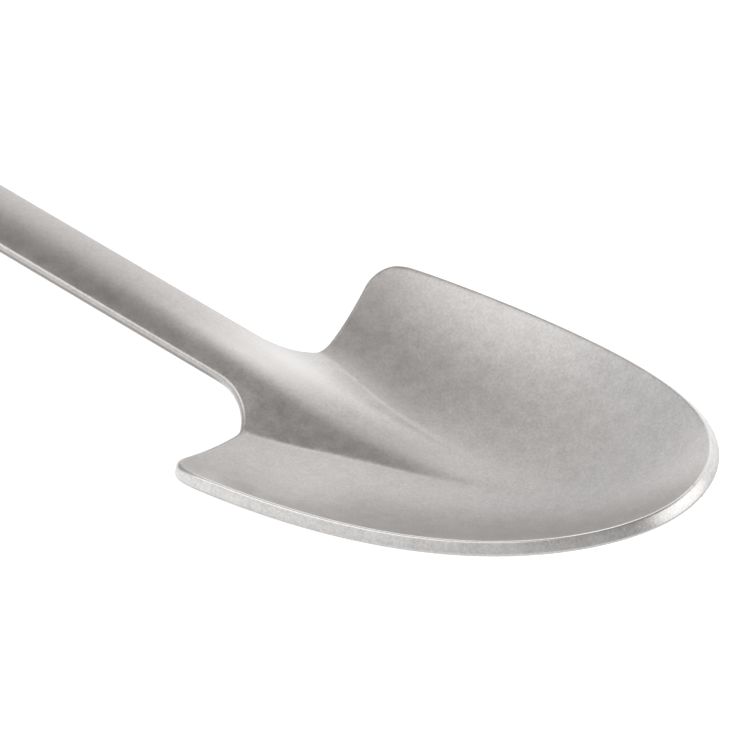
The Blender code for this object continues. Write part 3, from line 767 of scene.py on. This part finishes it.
def cross_rivet(node, x, reach, rings=14):
    """A rivet across the shaft. Both domed heads carry the small dimple of the setting tool."""
    seat = reach + GAP
    dome = (RIVET_HEAD_RADIUS ** 2 + RIVET_HEAD_HEIGHT ** 2) / (2 * RIVET_HEAD_HEIGHT)
    head = []
    for ring in range(rings + 1):
        radius = RIVET_HEAD_RADIUS * ring / rings
        height = seat + RIVET_HEAD_HEIGHT - dome + sqrt(dome ** 2 - radius ** 2)
        head.append((radius, height - DIMPLE_DEPTH * exp(-(radius / DIMPLE_RADIUS) ** 2)))
    foot = [(radius, -height) for radius, height in reversed(head)]
    profile = head + [(RIVET_RADIUS, seat), (RIVET_RADIUS, -seat)] + foot
    new_piece(f"peened_{node}", turned(profile, "Z", (x, 0, 0)), SHAFT, [FASTENER_STEEL],
              node)


def strap_slot(x, length=0.020):
    """A curved slab that follows the tang with GAP round it."""
    outer = ARCH_RADIUS + GAP
    inner = ARCH_RADIUS - SHEET - GAP
    half = asin((NECK_HALF_WIDTH + GAP) / outer)
    steps = 24
    turns = [pi / 2 - half + 2 * half * step / steps for step in range(steps + 1)]
    section = [(outer * cos(turn), outer * sin(turn)) for turn in turns]
    section += [(inner * cos(turn), inner * sin(turn)) for turn in reversed(turns)]
    middle = STRAP_AXIS - ARCH_RADIUS
    shape = bmesh.new()
    ends = [[shape.verts.new((x + side * length / 2, y, middle + z)) for y, z in section]
            for side in (-1, 1)]
    for number in range(len(section)):
        shape.faces.new((ends[0][number - 1], ends[0][number], ends[1][number], ends[1][number - 1]))
    shape.faces.new(ends[0])
    shape.faces.new(reversed(ends[1]))
    return closed_mesh(shape, "strap_slot")


def make_collar():
    """The turned collar at the tube's mouth, with one shallow groove round it."""
    front = along_neck(COLLAR_FRONT)
    back = front - COLLAR_LENGTH
    bore = TUBE_RADIUS + GAP
    step = front - COLLAR_FACE
    groove = back + GROOVE_AT
    floor = COLLAR_RADIUS - GROOVE_DEPTH
    lip = GROOVE_HALF_WIDTH + GROOVE_SLOPE / 2
    root = GROOVE_HALF_WIDTH - GROOVE_SLOPE / 2
    corners = [(0.0, front), (COLLAR_RADIUS - 0.0022, front), (COLLAR_RADIUS, front - 0.0024),
               (COLLAR_RADIUS, groove + lip), (floor, groove + root),
               (floor, groove - root), (COLLAR_RADIUS, groove - lip),
               (COLLAR_RADIUS, back), (bore, back), (bore, step), (0.0, step)]
    mesh = boolean(turned(softened(corners, 0.00025), "X"), "DIFFERENCE", strap_slot(front))
    new_piece("turned_collar", mesh, SHAFT, [TURNED_STEEL], "mouth_collar")


def make_shaft():
    back = TUBE_RADIUS + 2 * GAP
    front = along_neck(COLLAR_FRONT + COLLAR_FACE) - GAP
    corners = [(TUBE_RADIUS, front), (TUBE_RADIUS, back), (TUBE_BORE, back), (TUBE_BORE, front)]
    holes = joined([rod(RIVET_RADIUS + GAP, -0.02, 0.02, "Z", (x, 0, 0), HOLE_SEGMENTS) for x in
                    (SHAFT_RIVET_AT, *(along_neck(place) for place in TANG_RIVETS_AT.values()))])
    pipe = turned(softened(corners, TUBE_ROUNDING, closed=True), "X", closed=True)
    tube = boolean(pipe, "DIFFERENCE", holes)
    new_piece("shaft_pipe", tube, SHAFT, [SHAFT_STEEL], "shaft_tube")
    make_collar()
    for place, distance in TANG_RIVETS_AT.items():
        cross_rivet(f"tang_rivet_{place}", along_neck(distance), TUBE_RADIUS)
        for side in ("upper", "lower"):
            finish_cad_node(f"tang_packer_{side}", NYLON)


def finish_cad_node(node, material):
    """Gives a CAD node that is shown as it is its finished material."""
    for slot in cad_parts[node].material_slots:
        slot.material = material


# ---------------------------------------------------------------- tee
def tee_body():
    """The tee as one moulding, with the soft inner corners of a mould."""
    solids = [rod(BARREL_RADIUS, -TEE_HALF_WIDTH, TEE_HALF_WIDTH, "Y"),
              rod(BARREL_RADIUS - 0.0004, 0.0, TEE_REACH, "X"),
              rod(BOSS_RADIUS, BOSS_END, 0.0, "X")]
    solids += [rod(EAR_RADIUS, -EAR_HEIGHT, EAR_HEIGHT, "Z", (x, y, 0)) for x, y in SCREW_PLACES]
    body = applied(joined(solids), "REMESH", mode="VOXEL", voxel_size=VOXEL)
    return applied(body, "SMOOTH", factor=0.5, iterations=7)


def tee_bores():
    flange = [end + GAP * side for end, side in zip(STUD_FLANGE, (-1, 1))]
    bores = [rod(TUBE_RADIUS + GAP, -0.05, 0.05, "Y"),
             rod(TUBE_RADIUS + GAP, 0.0, 0.1, "X"),
             rod(STUD_RADIUS + GAP, BOSS_END - 0.01, BOSS_END + 0.01, "X"),
             rod(STUD_FLANGE_RADIUS + GAP, *flange, "X")]
    holes = [(SCREW_RADIUS, x, y) for x, y in SCREW_PLACES]
    holes += [(RIVET_RADIUS, 0.0, 0.0), (RIVET_RADIUS, SHAFT_RIVET_AT, 0.0)]
    bores += [rod(radius + GAP, -0.02, 0.02, "Z", (x, y, 0), HOLE_SEGMENTS) for radius, x, y in holes]
    return joined(bores)


def make_tee():
    body = boolean(tee_body(), "DIFFERENCE", tee_bores())
    room = 0.1
    for side, sign in (("upper", 1), ("lower", -1)):
        shape = bmesh.new()
        bmesh.ops.create_cube(shape, size=room)
        bmesh.ops.translate(shape, verts=shape.verts, vec=(0, 0, sign * (room + GAP) / 2))
        half = boolean(body.copy(), "INTERSECT", closed_mesh(shape, "half"))
        new_piece(f"tee_half_{side}", half, SHAFT, [NYLON], f"tee_shell_{side}")


def hexagon(across_flats, low, high):
    return rod(across_flats / 2 / cos(pi / 6), low, high, segments=6)


def screw_mesh():
    """A socket-head screw with its thread showing past the nut."""
    seat = EAR_HEIGHT + GAP
    top = seat + SCREW_HEAD_HEIGHT
    root = SCREW_RADIUS - THREAD_DEPTH
    thread_top = -seat - NUT_THICKNESS + THREAD_PITCH
    head = [(0.0, top), (SCREW_HEAD_RADIUS, top), (SCREW_HEAD_RADIUS, seat), (SCREW_RADIUS, seat)]
    profile = softened(head, 0.0005) + [(SCREW_RADIUS, thread_top)]
    height = thread_top
    while height - THREAD_PITCH > SCREW_END:
        profile += [(root, height - THREAD_PITCH / 2), (SCREW_RADIUS, height - THREAD_PITCH)]
        height -= THREAD_PITCH
    profile += [(root, SCREW_END), (0.0, SCREW_END)]
    socket = hexagon(SOCKET_ACROSS_FLATS, top - SOCKET_DEPTH, top + 0.01)
    return boolean(turned(profile), "DIFFERENCE", socket)


def nut_mesh():
    """A hexagon nut with its corners chamfered on both faces."""
    seat = -EAR_HEIGHT - GAP
    low = seat - NUT_THICKNESS
    face = NUT_ACROSS_FLATS / 2
    corner = face / cos(pi / 6)
    drop = (corner - face) * tan(radians(30))
    lens = [(0.0, seat), (face, seat), (corner, seat - drop), (corner, low + drop), (face, low), (0.0, low)]
    nut = boolean(hexagon(NUT_ACROSS_FLATS, low, seat), "INTERSECT", turned(lens))
    thread = SCREW_RADIUS + GAP
    beyond = 0.001
    wide = thread + NUT_MOUTH + beyond
    bore = [(0.0, seat + beyond), (wide, seat + beyond), (thread, seat - NUT_MOUTH),
            (thread, low + NUT_MOUTH), (wide, low - beyond), (0.0, low - beyond)]
    return boolean(nut, "DIFFERENCE", turned(bore))


def make_tee_fasteners():
    screw = screw_mesh()
    nut = nut_mesh()
    for number, (x, y) in enumerate(SCREW_PLACES, 1):
        place = SHAFT @ Matrix.Translation((x, y, 0))
        new_piece(f"socket_screw_{number}", screw.copy(), place, [FASTENER_STEEL],
                  f"tee_screw_{number}")
        new_piece(f"hex_nut_{number}", nut.copy(), place, [FASTENER_STEEL],
                  f"tee_nut_{number}")
    cross_rivet("shaft_rivet", SHAFT_RIVET_AT, BARREL_RADIUS)
    cross_rivet("crossbar_rivet", 0.0, BARREL_RADIUS)


# ---------------------------------------------------------------- crossbar, grips and caps
def make_crossbar():
    end = CROSSBAR_HALF_LENGTH
    corners = [(TUBE_RADIUS, end), (TUBE_RADIUS, -end), (TUBE_BORE, -end), (TUBE_BORE, end)]
    pipe = turned(softened(corners, TUBE_ROUNDING, closed=True), "Y", closed=True)
    tube = boolean(pipe, "DIFFERENCE", rod(RIVET_RADIUS + GAP, -0.02, 0.02, segments=HOLE_SEGMENTS))
    new_piece("crossbar_pipe", tube, SHAFT, [CROSSBAR_STEEL], "crossbar_tube")


def grip_profile(samples=16):
    """A sleeve with round ribs, from its outer end down to the tee."""
    inner = TUBE_RADIUS + GAP
    top = CROSSBAR_HALF_LENGTH - GAP
    bottom = TEE_HALF_WIDTH + GAP
    pitch = (top - bottom) / GRIP_RIBS
    depth = GRIP_RADIUS - GRIP_WAIST
    outer = []
    for step in range(GRIP_RIBS * samples + 1):
        height = top - pitch * step / samples
        outer.append((GRIP_WAIST + depth * abs(sin(pi * step / samples)) ** 0.5, height))
    return outer + [(inner, bottom), (inner, top)]


def cap_profile():
    """A push-in end cap with a rounded rim and a shallow ring pressed into its face."""
    face = CROSSBAR_HALF_LENGTH + GAP
    outside = face + CAP_THICKNESS
    plug = TUBE_BORE - GAP
    ring = CAP_RING_RADIUS
    floor = outside - CAP_RING_DEPTH
    inner_end = face - CAP_PLUG_DEPTH
    front = [(0.0, outside), (ring - 0.0008, outside), (ring - 0.0004, floor),
             (ring + 0.0004, floor), (ring + 0.0008, outside), (CAP_RADIUS, outside)]
    back = [(CAP_RADIUS, outside), (CAP_RADIUS, face), (plug, face), (plug, inner_end), (0.0, inner_end)]
    outline = softened(front, 0.0002)[:-1]
    outline += rounded_corner(front[-2], front[-1], back[1], CAP_ROUNDING, 9)
    return outline + softened(back, 0.0003)[1:]


def make_grips():
    turns = {"left": Matrix(), "right": Matrix.Rotation(pi, 4, "X")}
    for side, turn in turns.items():
        grip = turned(grip_profile(), "Y", closed=True)
        new_piece(f"ribbed_grip_{side}", grip, SHAFT @ turn, [RUBBER], f"grip_{side}",
                  smooth_angle=50)
        new_piece(f"push_cap_{side}", turned(cap_profile(), "Y"), SHAFT @ turn, [NYLON],
                  f"end_cap_{side}")


# ---------------------------------------------------------------- lanyard eye and ring
def make_eye():
    """The eye, its stem and the flange that the tee's halves hold."""
    half = EYE_HALF_THICKNESS
    section = [(EYE_RADIUS, half), (EYE_RADIUS, -half), (EYE_HOLE_RADIUS, -half), (EYE_HOLE_RADIUS, half)]
    loop = turned(softened(section, 0.0009, closed=True), "Y", (EYE_AT, 0, 0), closed=True)
    back = EYE_AT + EYE_RADIUS - 0.0006
    flange_back, flange_front = STUD_FLANGE
    stem = [(0.0, flange_front), (STUD_FLANGE_RADIUS, flange_front), (STUD_FLANGE_RADIUS, flange_back),
            (STUD_RADIUS, flange_back), (STUD_RADIUS, back), (0.0, back)]
    mesh = boolean(loop, "UNION", turned(softened(stem, 0.0003), "X"))
    new_piece("forged_eye", mesh, SHAFT, [FASTENER_STEEL], "eye_stud")


def make_ring(around=128, across=24):
    """A wire ring through the eye, closed by a small ground weld opposite the eye."""
    weld_swell = 0.00012
    weld_length = radians(6)
    shape = bmesh.new()
    rows = []
    for step in range(around + 1):
        turn = 2 * pi * step / around - pi
        away = abs(abs(turn) - pi)
        wire = RING_WIRE_RADIUS - weld_swell * (1.0 - exp(-(away / weld_length) ** 2))
        row = []
        for turn_across in (2 * pi * part / across for part in range(across + 1)):
            radius = RING_RADIUS + wire * cos(turn_across)
            row.append((radius * cos(turn), radius * sin(turn), wire * sin(turn_across)))
        rows.append(row)
    add_grid(shape, rows)
    placing = (SHAFT @ Matrix.Translation((EYE_AT, 0, 0)) @ Matrix.Rotation(-RING_DROOP, 4, "Y")
               @ Matrix.Translation((-RING_RADIUS, 0, 0)))
    new_piece("welded_ring", closed_mesh(shape, "welded_ring"), placing, [FASTENER_STEEL],
              "lanyard_ring", body=RING_BODY)


# ---------------------------------------------------------------- studio
def make_floor():
    shape = bmesh.new()
    bmesh.ops.create_grid(shape, x_segments=1, y_segments=1, size=3.0)
    mesh = closed_mesh(shape, "floor")
    floor = bpy.data.objects.new("floor", mesh)
    bpy.context.scene.collection.objects.link(floor)
    nodes = Nodes("pale_floor")
    nodes.shader.inputs["Base Color"].default_value = (FLOOR_TONE, FLOOR_TONE, FLOOR_TONE, 1.0)
    nodes.shader.inputs["Roughness"].default_value = 0.9
    nodes.shader.inputs["Emission Color"].default_value = (1.0, 1.0, 1.0, 1.0)
    nodes.shader.inputs["Emission Strength"].default_value = FLOOR_GLOW
    mesh.materials.append(nodes.material)


def ramp(tree, value, stops):
    """A colour ramp over a value, with its stops given as (position, colour)."""
    node = tree.nodes.new("ShaderNodeValToRGB")
    elements = node.color_ramp.elements
    elements[0].position = stops[0][0]
    elements[1].position = stops[-1][0]
    for position, _ in stops[1:-1]:
        elements.new(position)
    for element, (_, colour) in zip(elements, stops):
        element.color = (*colour, 1.0)
    tree.links.new(value, node.inputs["Fac"])
    return node.outputs["Color"]


def mixed(tree, factor, first, second, blend="MIX"):
    node = tree.nodes.new("ShaderNodeMix")
    node.data_type = "RGBA"
    node.blend_type = blend
    if isinstance(factor, float):
        node.inputs["Factor"].default_value = factor
    else:
        tree.links.new(factor, node.inputs["Factor"])
    tree.links.new(first, node.inputs["A"])
    tree.links.new(second, node.inputs["B"])
    return node.outputs["Result"]


def side_of_room(tree, direction):
    """From 0 towards -Y to 1 towards +Y, whatever the height."""
    level = tree.nodes.new("ShaderNodeVectorMath")
    level.operation = "MULTIPLY"
    level.inputs[1].default_value = (1.0, 1.0, 0.0)
    tree.links.new(direction, level.inputs[0])
    heading = tree.nodes.new("ShaderNodeVectorMath")
    heading.operation = "NORMALIZE"
    tree.links.new(level.outputs["Vector"], heading.inputs[0])
    split = tree.nodes.new("ShaderNodeSeparateXYZ")
    tree.links.new(heading.outputs["Vector"], split.inputs["Vector"])
    side = tree.nodes.new("ShaderNodeMath")
    side.operation = "MULTIPLY_ADD"
    side.inputs[1].default_value = 0.5
    side.inputs[2].default_value = 0.5
    tree.links.new(split.outputs["Y"], side.inputs[0])
    return side.outputs["Value"]


def make_world():
    """A bright room with a darker, warmer ceiling, brightest behind the blade's far side."""
    world = bpy.data.worlds.new("studio")
    bpy.context.scene.world = world
    world.use_nodes = True
    tree = world.node_tree
    direction = tree.nodes.new("ShaderNodeTexCoord").outputs["Generated"]
    split = tree.nodes.new("ShaderNodeSeparateXYZ")
    tree.links.new(direction, split.inputs["Vector"])
    height = split.outputs["Z"]
    side = side_of_room(tree, direction)
    share = ramp(tree, side, FRONT_SHARE_BY_SIDE)
    by_height = mixed(tree, share, ramp(tree, height, BACK_BY_HEIGHT), ramp(tree, height, FRONT_BY_HEIGHT))
    level = mixed(tree, 1.0, by_height, ramp(tree, side, GAIN_BY_SIDE), "MULTIPLY")
    background = tree.nodes["Background"]
    tree.links.new(level, background.inputs["Color"])
    background.inputs["Strength"].default_value = ROOM_STRENGTH


def soft_light(name, azimuth, elevation, distance, size, power, aim=CAMERA_AIM):
    """A softbox, as (width, height). Azimuth 0 is on the -Y side, 90 on the +X side."""
    away = Vector((sin(radians(azimuth)) * cos(radians(elevation)),
                   -cos(radians(azimuth)) * cos(radians(elevation)), sin(radians(elevation))))
    data = bpy.data.lights.new(name, "AREA")
    data.shape = "RECTANGLE"
    data.size, data.size_y = size
    data.energy = power
    light = bpy.data.objects.new(name, data)
    bpy.context.scene.collection.objects.link(light)
    light.location = aim + away * distance
    light.rotation_euler = away.to_track_quat("Z", "Y").to_euler()
    light.visible_camera = False


def make_lights():
    soft_light("right_box", azimuth=112, elevation=36, distance=1.6, size=(1.45, 1.2), power=5.4)
    soft_light("left_box", azimuth=-50, elevation=44, distance=1.6, size=(1.0, 1.0), power=3.5)
    soft_light("back_card", azimuth=-146, elevation=55, distance=0.19, size=(0.035, 0.11),
               power=0.0085, aim=ROOT_AIM)


def make_camera():
    away = Vector((sin(CAMERA_AZIMUTH) * cos(CAMERA_ELEVATION),
                   -cos(CAMERA_AZIMUTH) * cos(CAMERA_ELEVATION), sin(CAMERA_ELEVATION)))
    data = bpy.data.cameras.new("camera")
    data.lens = CAMERA_LENS
    data.sensor_width = 36.0
    camera = bpy.data.objects.new("camera", data)
    bpy.context.scene.collection.objects.link(camera)
    turn = away.to_track_quat("Z", "Y").to_matrix().to_4x4() @ Matrix.Rotation(CAMERA_ROLL, 4, "Z")
    camera.matrix_world = Matrix.Translation(CAMERA_AIM + away * CAMERA_DISTANCE) @ turn
    bpy.context.scene.camera = camera


make_camera()
make_head()
make_shaft()
make_tee()
make_tee_fasteners()
make_crossbar()
make_grips()
make_eye()
make_ring()
make_floor()
make_world()
make_lights()

bpy.context.scene.view_settings.view_transform = "Standard"
bpy.context.view_layer.update()
